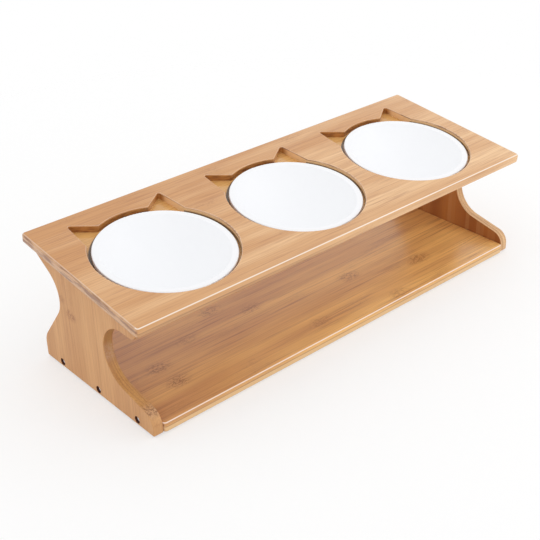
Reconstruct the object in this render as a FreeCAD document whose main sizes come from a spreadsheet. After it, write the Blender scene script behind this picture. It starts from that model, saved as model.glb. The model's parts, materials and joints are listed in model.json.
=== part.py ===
import FreeCAD, Part
import math
import os
import Sketcher

# Raised feeding stand: a tilted bamboo top board with three eared recesses, two waisted
# end panels, a low shelf and three loose ceramic bowls. Millimetres, +X along the length,
# +Y to the back, +Z up, origin on the floor under the middle of the stand.

Vector = FreeCAD.Vector
TOUCH = 1e-4

doc = FreeCAD.newDocument("raised_feeder")

# Driving dimensions. Each row is a name, a size in millimetres or degrees, and what it measures.
DRIVING_SIZES = [
    ("rim_diameter", 130.0, "bowl, across its rim"),
    ("rim_height", 4.8, "bowl rim, from its seat to its top"),
    ("rim_width", 6.0, "bowl rim, from its outer edge to the inside of the bowl"),
    ("rim_round", 0.8, "bowl rim, rounding of its top edges"),
    ("bowl_depth", 28.5, "bowl, from the top of its rim to its inside floor"),
    ("bowl_wall", 3.1, "bowl, thickness of its shell"),
    ("foot_ring_diameter", 68.0, "bowl foot ring, outside"),
    ("foot_ring_width", 4.0, "bowl foot ring, width of the ring"),
    ("foot_ring_drop", 1.5, "bowl foot ring, how far it stands below the shell"),
    ("glaze_round", 0.8, "bowl, rounding of its lower edges"),
    ("rim_clearance", 3.3, "gap round the rim in its recess"),
    ("body_clearance", 2.5, "gap round the bowl's shell in the hole under it"),
    ("bowl_slip", 1.2, "how far a bowl has slid down the slope"),
    ("board_thickness", 10.0, "top board"),
    ("board_tilt", 6.7, "slope of the top board, in degrees"),
    ("front_height", 111.3, "top board's front edge above the end panels' feet"),
    ("recess_depth", 7.0, "recess, from the top face to its ledge"),
    ("recess_web", 20.5, "wood between two recesses"),
    ("end_margin", 20.6, "wood between an outer recess and the board's end"),
    ("front_margin", 13.5, "wood between a recess and the board's front edge"),
    ("back_margin", 14.9, "wood between the ear tips and the board's back edge"),
    ("ear_height", 25.6, "ear tip beyond the round of the recess"),
    ("ear_tip_angle", 33.0, "ear tip, off the line up the slope, in degrees"),
    ("ear_inner_angle", 23.8, "inner foot of the ear, same reference, in degrees"),
    ("ear_outer_angle", 52.8, "outer foot of the ear, same reference, in degrees"),
    ("ear_tip_round", 2.0, "router radius in the ear tips"),
    ("ear_foot_round", 1.5, "rounding where an ear meets the round of the recess"),
    ("lip_round", 1.2, "rounding of the recess's upper edge"),
    ("board_corner", 3.0, "plan rounding of the top board's corners"),
    ("board_edge_round", 2.5, "rounding of the top board's long edges and ends"),
    ("panel_thickness", 10.0, "end panel"),
    ("end_overhang", 6.8, "top board past the end panel, at each end"),
    ("heel_setback", 4.3, "end panel's back face before the top board's upper back edge"),
    ("nose_setback", 15.0, "nose of the end panel behind its front face"),
    ("nose_height", 14.3, "nose, under the top board"),
    ("nose_round", 7.0, "nose, rounding of its lower corner"),
    ("front_cut_depth", 66.5, "deepest point of the front cut, from the front face"),
    ("front_cut_floor", 27.2, "lowest point of the front cut's round"),
    ("toe_slope", 12.0, "fall of the toe towards the front, in degrees"),
    ("toe_round", 14.0, "rounding of the toe"),
    ("back_cut_depth", 36.2, "deepest point of the back cut, from the back face"),
    ("back_cut_above", 10.8, "top of the back cut's round below the rear tip"),
    ("back_cut_below", 34.4, "foot of that round above the straight part of the back face"),
    ("rear_tip_height", 5.5, "rear tip, under the top board"),
    ("heel_height", 14.5, "straight part of the back face"),
    ("heel_round", 20.0, "rounding of the heel"),
    ("panel_corner", 1.1, "rounding of the end panel's lower corners"),
    ("panel_edge_round", 0.9, "rounding along the end panel's faces"),
    ("shelf_thickness", 10.0, "shelf board"),
    ("shelf_proud", 1.7, "shelf past the end panels, at the front"),
    ("shelf_back_inset", 1.5, "shelf short of the end panels, at the back"),
    ("shelf_corner", 3.5, "plan rounding of the shelf's corners"),
    ("shelf_edge_round", 1.4, "rounding of the shelf's edges"),
    ("screw_pitch", 59.5, "between the shelf screws of one end"),
    ("screw_length", 38.0, "screw, under its head"),
    ("screw_shank", 4.0, "screw, across its shank"),
    ("screw_point", 6.0, "screw, length of its point"),
    ("screw_head", 6.4, "screw, across its head"),
    ("screw_head_height", 2.2, "screw head"),
    ("screw_slot_length", 3.8, "cross recess in the head, length of an arm"),
    ("screw_slot_width", 0.9, "cross recess, width of an arm"),
    ("screw_slot_depth", 1.3, "cross recess, depth"),
    ("screw_sink", 1.8, "screw head below the end panel's face"),
    ("screw_head_gap", 0.3, "gap round the screw head in its hole"),
    ("screw_fit", 0.05, "gap round the screw's shank"),
    ("dowel_diameter", 5.0, "dowel between end panel and top board"),
    ("dowel_in_board", 5.0, "dowel, part inside the top board"),
    ("dowel_in_panel", 18.0, "dowel, part inside the end panel"),
    ("dowel_chamfer", 0.6, "dowel ends"),
    ("dowel_front", 53.0, "first dowel, up the slope from the board's front edge"),
    ("dowel_pitch", 40.0, "between dowels"),
    ("dowel_fit", 0.05, "gap round a dowel"),
    ("dowel_end_gap", 0.5, "gap past a dowel's ends"),
    ("pad_diameter", 12.0, "foot pad"),
    ("pad_thickness", 1.2, "foot pad"),
    ("pad_round", 0.4, "foot pad, rounding of its lower edge"),
    ("pad_inset", 9.0, "foot pad's middle from the shelf's edges"),
]

dims = doc.addObject("Spreadsheet::Sheet", "dims")
for row, (alias, size, meaning) in enumerate(DRIVING_SIZES, start=1):
    dims.set(f"A{row}", alias)
    dims.set(f"B{row}", str(size))
    dims.setAlias(f"B{row}", alias)
    dims.set(f"C{row}", meaning)
doc.recompute()

# Sizes that follow from the driving ones, as formulas on the sheet's names.
recess_radius = "(dims.rim_diameter / 2 + dims.rim_clearance)"
bowl_pitch = f"(2 * {recess_radius} + dims.recess_web)"
board_length = f"(2 * {bowl_pitch} + 2 * {recess_radius} + 2 * dims.end_margin)"
recess_middle = f"(dims.front_margin + {recess_radius})"
ear_reach = f"({recess_radius} + dims.ear_height)"
board_depth = f"({recess_middle} + {ear_reach} * cos(dims.ear_tip_angle) + dims.back_margin)"
rim_radius = "(dims.rim_diameter / 2)"
bowl_mouth = f"({rim_radius} - dims.rim_width)"
bowl_curve = f"(({bowl_mouth} ^ 2 + dims.bowl_depth ^ 2) / (2 * dims.bowl_depth))"
bowl_curve_height = f"({bowl_curve} - dims.bowl_depth + dims.rim_height)"
shell_curve = f"({bowl_curve} + dims.bowl_wall)"
shell_radius = f"sqrt({shell_curve} ^ 2 - {bowl_curve_height} ^ 2)"
shell_hole_radius = f"({shell_radius} + dims.body_clearance)"
panel_depth = f"({board_depth} * cos(dims.board_tilt) - dims.heel_setback)"
panel_outer = f"({board_length} / 2 - dims.end_overhang)"
edge_length = f"({board_depth} - dims.board_edge_round) * cos(dims.board_tilt)"
edge_fall = "(dims.board_thickness - dims.board_edge_round) * sin(dims.board_tilt)"
board_reach = f"({edge_length} + {edge_fall} + dims.board_edge_round)"
panel_front = f"((dims.shelf_proud - {board_reach}) / 2)"
shelf_length = f"(2 * ({panel_outer} - dims.panel_thickness))"
shelf_depth = f"({panel_depth} + dims.shelf_proud - dims.shelf_back_inset)"
shelf_front = f"({panel_front} - dims.shelf_proud)"
screw_middle = f"({shelf_depth} / 2 - dims.shelf_proud)"
screw_height = "(dims.shelf_thickness / 2)"
screw_seat = "(dims.screw_sink + dims.screw_head_height)"
board_front_height = "(dims.pad_thickness + dims.front_height)"


def value(formula):
    """The present value of a formula on the sheet."""
    return float(dims.evalExpression(formula))


def board_underside(along):
    """Height of the top board's underside over a point of the end panel, as a formula."""
    thickness = "dims.board_thickness / cos(dims.board_tilt)"
    return f"(dims.front_height + {along} * tan(dims.board_tilt) - {thickness})"


def under_board(up_slope, fall):
    """Formulas for the stand's Y and Z of a point up the slope and below the board's top face."""
    back = f"{panel_front} + {up_slope} * cos(dims.board_tilt) + {fall} * sin(dims.board_tilt)"
    rise = f"{up_slope} * sin(dims.board_tilt)"
    return back, f"{board_front_height} + {rise} - {fall} * cos(dims.board_tilt)"


def new_body(label):
    """An empty piece of the stand, named by its label."""
    body = doc.addObject("PartDesign::Body", label)
    body.Label = label
    return body


def place(body, x="0", y="0", z="0", axis=Vector(1, 0, 0), turn="0"):
    """Puts a piece in the stand, with formulas for its place and its turn about an axis."""
    body.Placement = FreeCAD.Placement(Vector(0, 0, 0), FreeCAD.Rotation(axis, value(turn)))
    body.setExpression("Placement.Base.x", x)
    body.setExpression("Placement.Base.y", y)
    body.setExpression("Placement.Base.z", z)
    if turn != "0":
        body.setExpression("Placement.Rotation.Angle", turn)


def origin_plane(body, role):
    """One of the piece's own three base planes."""
    return next(plane for plane in body.Origin.OriginFeatures if plane.Role == role)


def new_sketch(body, name, role, lift="0", tilt="0"):
    """A sketch on a base plane, lifted off it and tilted about its first axis."""
    sketch = body.newObject("Sketcher::SketchObject", name)
    sketch.AttachmentSupport = [(origin_plane(body, role), "")]
    sketch.MapMode = "FlatFace"
    turned = FreeCAD.Rotation(Vector(1, 0, 0), value(tilt))
    sketch.AttachmentOffset = FreeCAD.Placement(Vector(0, 0, value(lift)), turned)
    if lift != "0":
        sketch.setExpression("AttachmentOffset.Base.z", lift)
    if tilt != "0":
        sketch.setExpression("AttachmentOffset.Rotation.Angle", tilt)
    return sketch


def drive(sketch, name, formula, kind, *where):
    """Adds a dimension to a sketch and ties it to a formula."""
    size = value(formula)
    if kind == "Angle":
        size = math.radians(size)
    index = sketch.addConstraint(Sketcher.Constraint(kind, *where, size))
    sketch.renameConstraint(index, name)
    sketch.setExpression(f"Constraints.{name}", formula)


def drive_point(sketch, name, across, up, geometry, end):
    """Ties a point to its distances from the sketch's origin. Both are more than zero."""
    drive(sketch, f"{name}_across", across, "DistanceX", -1, 1, geometry, end)
    drive(sketch, f"{name}_up", up, "DistanceY", -1, 1, geometry, end)


def line(start, end):
    return Part.LineSegment(Vector(*start, 0), Vector(*end, 0))


def arc(middle, radius, start_degrees, end_degrees):
    """An arc that runs anticlockwise between two directions."""
    circle = Part.Circle(Vector(*middle, 0), Vector(0, 0, 1), radius)
    return Part.ArcOfCircle(circle, math.radians(start_degrees), math.radians(end_degrees))


def draw_loop(sketch, steps):
    """Draws a closed outline from (geometry, runs backwards, joint to the next step)."""
    drawn = [sketch.addGeometry(geometry, False) for geometry, _, _ in steps]
    for k, (_, backwards, joint) in enumerate(steps):
        following = (k + 1) % len(steps)
        leaves = 1 if backwards else 2
        enters = 2 if steps[following][1] else 1
        ends = (drawn[k], leaves, drawn[following], enters)
        sketch.addConstraint(Sketcher.Constraint(joint, *ends))
    return drawn


def draw_rectangle(sketch, length, depth):
    """A rectangle with its front edge's middle on the sketch's origin."""
    half = value(length) / 2
    back = value(depth)
    corners = [(-half, 0), (half, 0), (half, back), (-half, back)]
    steps = [(line(corners[k], corners[(k + 1) % 4]), False, "Coincident") for k in range(4)]
    front, right, rear, left = draw_loop(sketch, steps)
    for level in (front, rear):
        sketch.addConstraint(Sketcher.Constraint("Horizontal", level))
    for upright in (left, right):
        sketch.addConstraint(Sketcher.Constraint("Vertical", upright))
    sketch.addConstraint(Sketcher.Constraint("Symmetric", front, 1, front, 2, -1, 1))
    drive(sketch, "length", length, "DistanceX", front, 1, front, 2)
    drive(sketch, "depth", depth, "DistanceY", right, 1, right, 2)


def draw_circles(sketch, radius, middles):
    """Equal circles, each with formulas for its middle's distances from the origin."""
    for k, (across, up) in enumerate(middles):
        middle = Vector(value(across), value(up), 0)
        circle = sketch.addGeometry(Part.Circle(middle, Vector(0, 0, 1), value(radius)), False)
        drive(sketch, f"radius_{k}", radius, "Radius", circle)
        drive_point(sketch, f"middle_{k}", across, up, circle, 3)


def extrude(body, name, sketch, length, backwards=False):
    """Pads a sketch to a length."""
    pad = body.newObject("PartDesign::Pad", name)
    pad.Profile = sketch
    pad.Reversed = backwards
    pad.setExpression("Length", length)
    doc.recompute()
    return pad


def cut(body, name, sketch, depth, backwards=False):
    """Cuts a sketch to a depth, and makes sure that wood came away."""
    before = body.Tip.Shape.Volume
    pocket = body.newObject("PartDesign::Pocket", name)
    pocket.Profile = sketch
    pocket.Reversed = backwards
    pocket.setExpression("Length", depth)
    doc.recompute()
    if not body.Tip.Shape.Volume < before - TOUCH:
        raise RuntimeError(f"{name} cuts nothing")
    return pocket


def soften(body, name, radius, wanted, kind="PartDesign::Fillet", size="Radius"):
    """Rounds or chamfers the edges of the piece that pass a test."""
    base = body.Tip
    edges = [f"Edge{k}" for k, edge in enumerate(base.Shape.Edges, start=1) if wanted(edge)]
    if not edges:
        raise RuntimeError(f"{name} finds no edge")
    rounding = body.newObject(kind, name)
    rounding.Base = (base, edges)
    rounding.setExpression(size, radius)
    doc.recompute()
    return rounding


def is_upright(edge):
    """True for a straight edge along the piece's Z."""
    straight = isinstance(edge.Curve, Part.Line)
    return straight and abs(edge.tangentAt(edge.FirstParameter).z) > 1 - TOUCH


def lies_at(edge, axis, level):
    """True for an edge whose middle and ends all have one value of an axis."""
    points = [vertex.Point for vertex in edge.Vertexes]
    points.append(edge.valueAt((edge.FirstParameter + edge.LastParameter) / 2))
    return all(abs(getattr(point, axis) - level) < TOUCH for point in points)


def mirror_across(body, name, feature):
    """Repeats a cut on the other side of the piece's own YZ plane."""
    before = body.Tip.Shape.Volume
    mirrored = body.newObject("PartDesign::Mirrored", name)
    mirrored.Originals = [feature]
    mirrored.MirrorPlane = (origin_plane(body, "YZ_Plane"), [""])
    body.Tip = mirrored
    doc.recompute()
    if not body.Tip.Shape.Volume < before - TOUCH:
        raise RuntimeError(f"{name} cuts nothing")


def draw_recess(sketch):
    """The recess of the left bowl: a round with two ears towards the back edge."""
    middle_x = -value(bowl_pitch)
    middle_y = value(recess_middle)
    radius = value(recess_radius)

    def spot(distance, degrees):
        turn = math.radians(degrees)
        return (middle_x + distance * math.sin(turn), middle_y + distance * math.cos(turn))

    inner = value("dims.ear_inner_angle")
    outer = value("dims.ear_outer_angle")
    tip = value("dims.ear_tip_angle")
    reach = value(ear_reach)
    middle = (middle_x, middle_y)
    steps = [
        (line(spot(radius, outer), spot(reach, tip)), False, "Coincident"),
        (line(spot(reach, tip), spot(radius, inner)), False, "Coincident"),
        (arc(middle, radius, 90 - inner, 90 + inner), False, "Coincident"),
        (line(spot(radius, -inner), spot(reach, -tip)), False, "Coincident"),
        (line(spot(reach, -tip), spot(radius, -outer)), False, "Coincident"),
        (arc(middle, radius, 90 + outer, 450 - outer), False, "Coincident"),
    ]
    right_outer, right_inner, brow, left_inner, left_outer, bottom = draw_loop(sketch, steps)
    sketch.addConstraint(Sketcher.Constraint("Coincident", brow, 3, bottom, 3))
    drive(sketch, "brow_radius", recess_radius, "Radius", brow)
    drive(sketch, "round_radius", recess_radius, "Radius", bottom)
    drive(sketch, "middle_across", bowl_pitch, "DistanceX", bottom, 3, -1, 1)
    drive(sketch, "middle_up", recess_middle, "DistanceY", -1, 1, bottom, 3)
    inner_half = f"{recess_radius} * sin(dims.ear_inner_angle)"
    outer_half = f"{recess_radius} * sin(dims.ear_outer_angle)"
    tip_half = f"{ear_reach} * sin(dims.ear_tip_angle)"
    tip_up = f"{ear_reach} * cos(dims.ear_tip_angle)"
    drive(sketch, "right_inner_foot", inner_half, "DistanceX", bottom, 3, right_inner, 2)
    drive(sketch, "right_outer_foot", outer_half, "DistanceX", bottom, 3, right_outer, 1)
    drive(sketch, "right_tip_across", tip_half, "DistanceX", bottom, 3, right_outer, 2)
    drive(sketch, "right_tip_up", tip_up, "DistanceY", bottom, 3, right_outer, 2)
    drive(sketch, "left_inner_foot", inner_half, "DistanceX", left_inner, 1, bottom, 3)
    drive(sketch, "left_outer_foot", outer_half, "DistanceX", left_outer, 2, bottom, 3)
    drive(sketch, "left_tip_across", tip_half, "DistanceX", left_inner, 2, bottom, 3)
    drive(sketch, "left_tip_up", tip_up, "DistanceY", bottom, 3, left_inner, 2)


def make_top_board():
    """Tilted board. Its own origin is the middle of its upper front edge, its Z its normal."""
    body = new_body("top_board")
    outline = new_sketch(body, "board_outline", "XY_Plane")
    draw_rectangle(outline, board_length, board_depth)
    extrude(body, "board_slab", outline, "dims.board_thickness", backwards=True)
    soften(body, "board_corners", "dims.board_corner", is_upright)
    under = -value("dims.board_thickness")
    soften(body, "board_edges", "dims.board_edge_round",
           lambda edge: lies_at(edge, "z", 0) or lies_at(edge, "z", under))

    recess_outline = new_sketch(body, "recess_outline", "XY_Plane")
    draw_recess(recess_outline)
    recess = cut(body, "recess", recess_outline, "dims.recess_depth")
    hole_outline = new_sketch(body, "bowl_hole_outline", "XY_Plane")
    hole_middle = Vector(-value(bowl_pitch), value(recess_middle), 0)
    hole_circle = Part.Circle(hole_middle, Vector(0, 0, 1), value(shell_hole_radius))
    hole = hole_outline.addGeometry(hole_circle, False)
    drive(hole_outline, "radius", shell_hole_radius, "Radius", hole)
    drive(hole_outline, "middle_across", bowl_pitch, "DistanceX", hole, 3, -1, 1)
    drive(hole_outline, "middle_up", recess_middle, "DistanceY", -1, 1, hole, 3)
    bowl_hole = cut(body, "bowl_hole", hole_outline, "2 * dims.board_thickness")
    row = body.newObject("PartDesign::LinearPattern", "recess_row")
    row.Originals = [recess, bowl_hole]
    row.Direction = (recess_outline, ["H_Axis"])
    row.Occurrences = 3
    row.setExpression("Length", f"2 * {bowl_pitch}")
    body.Tip = row
    doc.recompute()

    ledge = -value("dims.recess_depth")
    tip_line = value(f"{recess_middle} + {ear_reach} * cos(dims.ear_tip_angle)")

    def is_ear_corner(edge):
        ends = sorted(vertex.Z for vertex in edge.Vertexes)
        return is_upright(edge) and abs(ends[0] - ledge) < TOUCH and abs(ends[-1]) < TOUCH

    def is_ear_tip(edge):
        return is_ear_corner(edge) and abs(edge.Vertexes[0].Y - tip_line) < TOUCH

    soften(body, "ear_tips", "dims.ear_tip_round", is_ear_tip)
    soften(body, "ear_feet", "dims.ear_foot_round",
           lambda edge: is_ear_corner(edge) and not near_tip(edge, tip_line))
    half = value(board_length) / 2
    inside = value("dims.board_edge_round") + TOUCH

    def is_lip(edge):
        on_face = lies_at(edge, "z", 0)
        first = edge.Vertexes[0].Point
        within = inside < first.y < value(board_depth) - inside and abs(first.x) < half - inside
        return on_face and within

    soften(body, "recess_lip", "dims.lip_round", is_lip)

    holes = new_sketch(body, "dowel_hole_outline", "XY_Plane", lift="-dims.board_thickness")
    across = f"({panel_outer} - dims.panel_thickness / 2)"
    middles = [(across, f"dims.dowel_front + {k} * dims.dowel_pitch") for k in range(3)]
    draw_circles(holes, "dims.dowel_diameter / 2 + dims.dowel_fit", middles)
    hole_depth = "dims.dowel_in_board + dims.dowel_end_gap"
    right_holes = cut(body, "dowel_holes", holes, hole_depth, backwards=True)
    mirror_across(body, "dowel_holes_left", right_holes)
    place(body, y=panel_front, z=board_front_height, turn="dims.board_tilt")
    return body


def near_tip(edge, tip_line):
    """True for an upright edge inside the rounding of an ear tip."""
    return edge.Vertexes[0].Y > tip_line - 2 * value("dims.ear_tip_round")


def draw_panel(sketch):
    """End panel seen from its end: front to the left, the panel's lower front corner at zero."""
    depth = value(panel_depth)
    nose = value("dims.nose_setback")
    nose_top = value(board_underside("dims.nose_setback"))
    nose_round = value("dims.nose_round")
    nose_level = f"({board_underside('dims.nose_setback')} - dims.nose_height)"
    cut_radius = f"(({nose_level} - dims.front_cut_floor) / 2)"
    nose_under = value(nose_level)
    front_radius = value(cut_radius)
    front_middle = (value("dims.front_cut_depth") - front_radius, nose_under - front_radius)
    toe_round = value("dims.toe_round")
    toe_slope = value("dims.toe_slope")
    rear_top = value(board_underside(panel_depth))
    rear_level = f"({board_underside(panel_depth)} - dims.rear_tip_height)"
    rear_low = value(rear_level)
    waist_foot = "(dims.heel_height + dims.back_cut_below)"
    waist_radius = f"(({rear_level} - dims.back_cut_above - {waist_foot}) / 2)"
    waist_across = f"{panel_depth} - dims.back_cut_depth + {waist_radius}"
    waist_height = f"{waist_foot} + {waist_radius}"
    back_radius = value(waist_radius)
    back_middle = (value(waist_across), value(waist_height))
    heel_round = value("dims.heel_round")
    heel_middle = (depth - heel_round, value("dims.heel_height"))
    # First guesses of the back cut's two slopes. The tangents settle them.
    upper_slope = 35
    lower_slope = 48

    def on_circle(middle, radius, degrees):
        turn = math.radians(degrees)
        return (middle[0] + radius * math.cos(turn), middle[1] + radius * math.sin(turn))

    heel_end = on_circle(heel_middle, heel_round, 90 - lower_slope)
    back_start = on_circle(back_middle, back_radius, 270 - lower_slope)
    back_end = on_circle(back_middle, back_radius, 90 + upper_slope)
    front_end = on_circle(front_middle, front_radius, 270 + toe_slope)
    toe_fall = (front_end[0] - toe_round) * math.tan(math.radians(toe_slope))
    toe_cover = toe_round / math.cos(math.radians(toe_slope))
    toe_middle = (toe_round, front_end[1] - toe_fall - toe_cover)
    toe_start = on_circle(toe_middle, toe_round, 90 + toe_slope)
    steps = [
        (line((0, 0), (depth, 0)), False, "Coincident"),
        (line((depth, 0), (depth, heel_middle[1])), False, "Tangent"),
        (arc(heel_middle, heel_round, 0, 90 - lower_slope), False, "Tangent"),
        (line(heel_end, back_start), False, "Tangent"),
        (arc(back_middle, back_radius, 90 + upper_slope, 270 - lower_slope), True, "Tangent"),
        (line(back_end, (depth, rear_low)), False, "Coincident"),
        (line((depth, rear_low), (depth, rear_top)), False, "Coincident"),
        (line((depth, rear_top), (nose, nose_top)), False, "Coincident"),
        (line((nose, nose_top), (nose, nose_under + nose_round)), False, "Tangent"),
        (arc((nose + nose_round, nose_under + nose_round), nose_round, 180, 270), False, "Tangent"),
        (line((nose + nose_round, nose_under), (front_middle[0], nose_under)), False, "Tangent"),
        (arc(front_middle, front_radius, toe_slope - 90, 90), True, "Tangent"),
        (line(front_end, toe_start), False, "Tangent"),
        (arc(toe_middle, toe_round, 90 + toe_slope, 180), False, "Tangent"),
        (line((0, toe_middle[1]), (0, 0)), False, "Coincident"),
    ]
    (floor, back, heel, _, waist, _, rear_tip, _, nose_face, nose_corner, nose_floor, front_cut, toe_top,
     toe_corner, front) = draw_loop(sketch, steps)
    sketch.addConstraint(Sketcher.Constraint("Coincident", floor, 1, -1, 1))
    for level in (floor, nose_floor):
        sketch.addConstraint(Sketcher.Constraint("Horizontal", level))
    for upright in (back, rear_tip, nose_face, front):
        sketch.addConstraint(Sketcher.Constraint("Vertical", upright))
    drive(sketch, "panel_depth", panel_depth, "DistanceX", floor, 1, floor, 2)
    drive(sketch, "heel_height", "dims.heel_height", "DistanceY", back, 1, back, 2)
    drive(sketch, "heel_round", "dims.heel_round", "Radius", heel)
    drive(sketch, "waist_radius", waist_radius, "Radius", waist)
    drive_point(sketch, "waist", waist_across, waist_height, waist, 3)
    drive_point(sketch, "rear_low", panel_depth, rear_level, rear_tip, 1)
    drive(sketch, "rear_top", board_underside(panel_depth), "DistanceY", -1, 1, rear_tip, 2)
    drive_point(sketch, "nose_top", "dims.nose_setback", board_underside("dims.nose_setback"), nose_face, 1)
    drive(sketch, "nose_round", "dims.nose_round", "Radius", nose_corner)
    drive(sketch, "nose_level", nose_level, "DistanceY", -1, 1, nose_floor, 1)
    drive(sketch, "front_cut_radius", cut_radius, "Radius", front_cut)
    cut_across = f"dims.front_cut_depth - {cut_radius}"
    drive(sketch, "front_cut_middle", cut_across, "DistanceX", -1, 1, front_cut, 3)
    drive(sketch, "toe_slope", "dims.toe_slope", "Angle", -1, 1, toe_top, 2)
    drive(sketch, "toe_round", "dims.toe_round", "Radius", toe_corner)


def make_end_panel(label, side):
    """Waisted end panel. side is -1 for the left one and 1 for the right one."""
    body = new_body(label)
    outline = new_sketch(body, f"{label}_outline", "YZ_Plane")
    draw_panel(outline)
    extrude(body, f"{label}_slab", outline, "dims.panel_thickness", backwards=side > 0)
    depth = value(panel_depth)

    def is_lower_corner(edge):
        first = edge.Vertexes[0].Point
        straight = isinstance(edge.Curve, Part.Line)
        crosses = straight and abs(edge.tangentAt(edge.FirstParameter).x) > 1 - TOUCH
        at_end = min(abs(first.y), abs(first.y - depth)) < TOUCH
        return crosses and abs(first.z) < TOUCH and at_end

    soften(body, f"{label}_corners", "dims.panel_corner", is_lower_corner)
    inner_face = -side * value("dims.panel_thickness")
    top_slope = math.cos(math.radians(value("dims.board_tilt")))

    def is_face_edge(edge):
        on_face = lies_at(edge, "x", 0) or lies_at(edge, "x", inner_face)
        along = edge.tangentAt(edge.FirstParameter)
        under_board = isinstance(edge.Curve, Part.Line) and abs(abs(along.y) - top_slope) < TOUCH
        return on_face and not (under_board and edge.BoundBox.ZMax > value("dims.front_height"))

    soften(body, f"{label}_edges", "dims.panel_edge_round", is_face_edge)

    middles = [(f"{screw_middle} + {k} * dims.screw_pitch", screw_height) for k in (-1, 0, 1)]
    sunk = new_sketch(body, f"{label}_sunk_holes", "YZ_Plane")
    draw_circles(sunk, "dims.screw_head / 2 + dims.screw_head_gap", middles)
    cut(body, f"{label}_sunk", sunk, screw_seat, backwards=side < 0)
    shank = new_sketch(body, f"{label}_shank_holes", "YZ_Plane")
    draw_circles(shank, "dims.screw_shank / 2 + dims.screw_fit", middles)
    cut(body, f"{label}_shank", shank, "2 * dims.panel_thickness", backwards=side < 0)

    slope_shift = "dims.board_thickness * tan(dims.board_tilt)"
    joint_height = board_underside("0")
    holes = new_sketch(body, f"{label}_dowel_holes", "XY_Plane", joint_height, "dims.board_tilt")
    for k in range(3):
        up = f"dims.dowel_front + {k} * dims.dowel_pitch + {slope_shift}"
        middle = Vector(-side * value("dims.panel_thickness") / 2, value(up), 0)
        radius = "dims.dowel_diameter / 2 + dims.dowel_fit"
        circle = holes.addGeometry(Part.Circle(middle, Vector(0, 0, 1), value(radius)), False)
        drive(holes, f"radius_{k}", radius, "Radius", circle)
        ends = (-1, 1, circle, 3) if side < 0 else (circle, 3, -1, 1)
        drive(holes, f"across_{k}", "dims.panel_thickness / 2", "DistanceX", *ends)
        drive(holes, f"up_{k}", up, "DistanceY", -1, 1, circle, 3)
    cut(body, f"{label}_dowel", holes, "dims.dowel_in_panel + dims.dowel_end_gap")
    outer = panel_outer if side > 0 else f"-{panel_outer}"
    place(body, x=outer, y=panel_front, z="dims.pad_thickness")
    return body


def make_shelf():
    """Shelf between the end panels. Its own origin is the middle of its lower front edge."""
    body = new_body("shelf_board")
    outline = new_sketch(body, "shelf_outline", "XY_Plane")
    draw_rectangle(outline, shelf_length, shelf_depth)
    extrude(body, "shelf_slab", outline, "dims.shelf_thickness")
    soften(body, "shelf_corners", "dims.shelf_corner", is_upright)
    top = value("dims.shelf_thickness")
    soften(body, "shelf_edges", "dims.shelf_edge_round",
           lambda edge: lies_at(edge, "z", 0) or lies_at(edge, "z", top))
    holes = new_sketch(body, "pilot_hole_outline", "YZ_Plane", lift=f"{shelf_length} / 2")
    middles = [(f"{shelf_depth} / 2 + {k} * dims.screw_pitch", screw_height) for k in (-1, 0, 1)]
    draw_circles(holes, "dims.screw_shank / 2 + dims.screw_fit", middles)
    pilot_depth = f"dims.screw_length + {screw_seat} - dims.panel_thickness + dims.screw_fit"
    right_holes = cut(body, "pilot_holes", holes, pilot_depth)
    mirror_across(body, "pilot_holes_left", right_holes)
    place(body, y=shelf_front, z="dims.pad_thickness")
    return body


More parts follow.
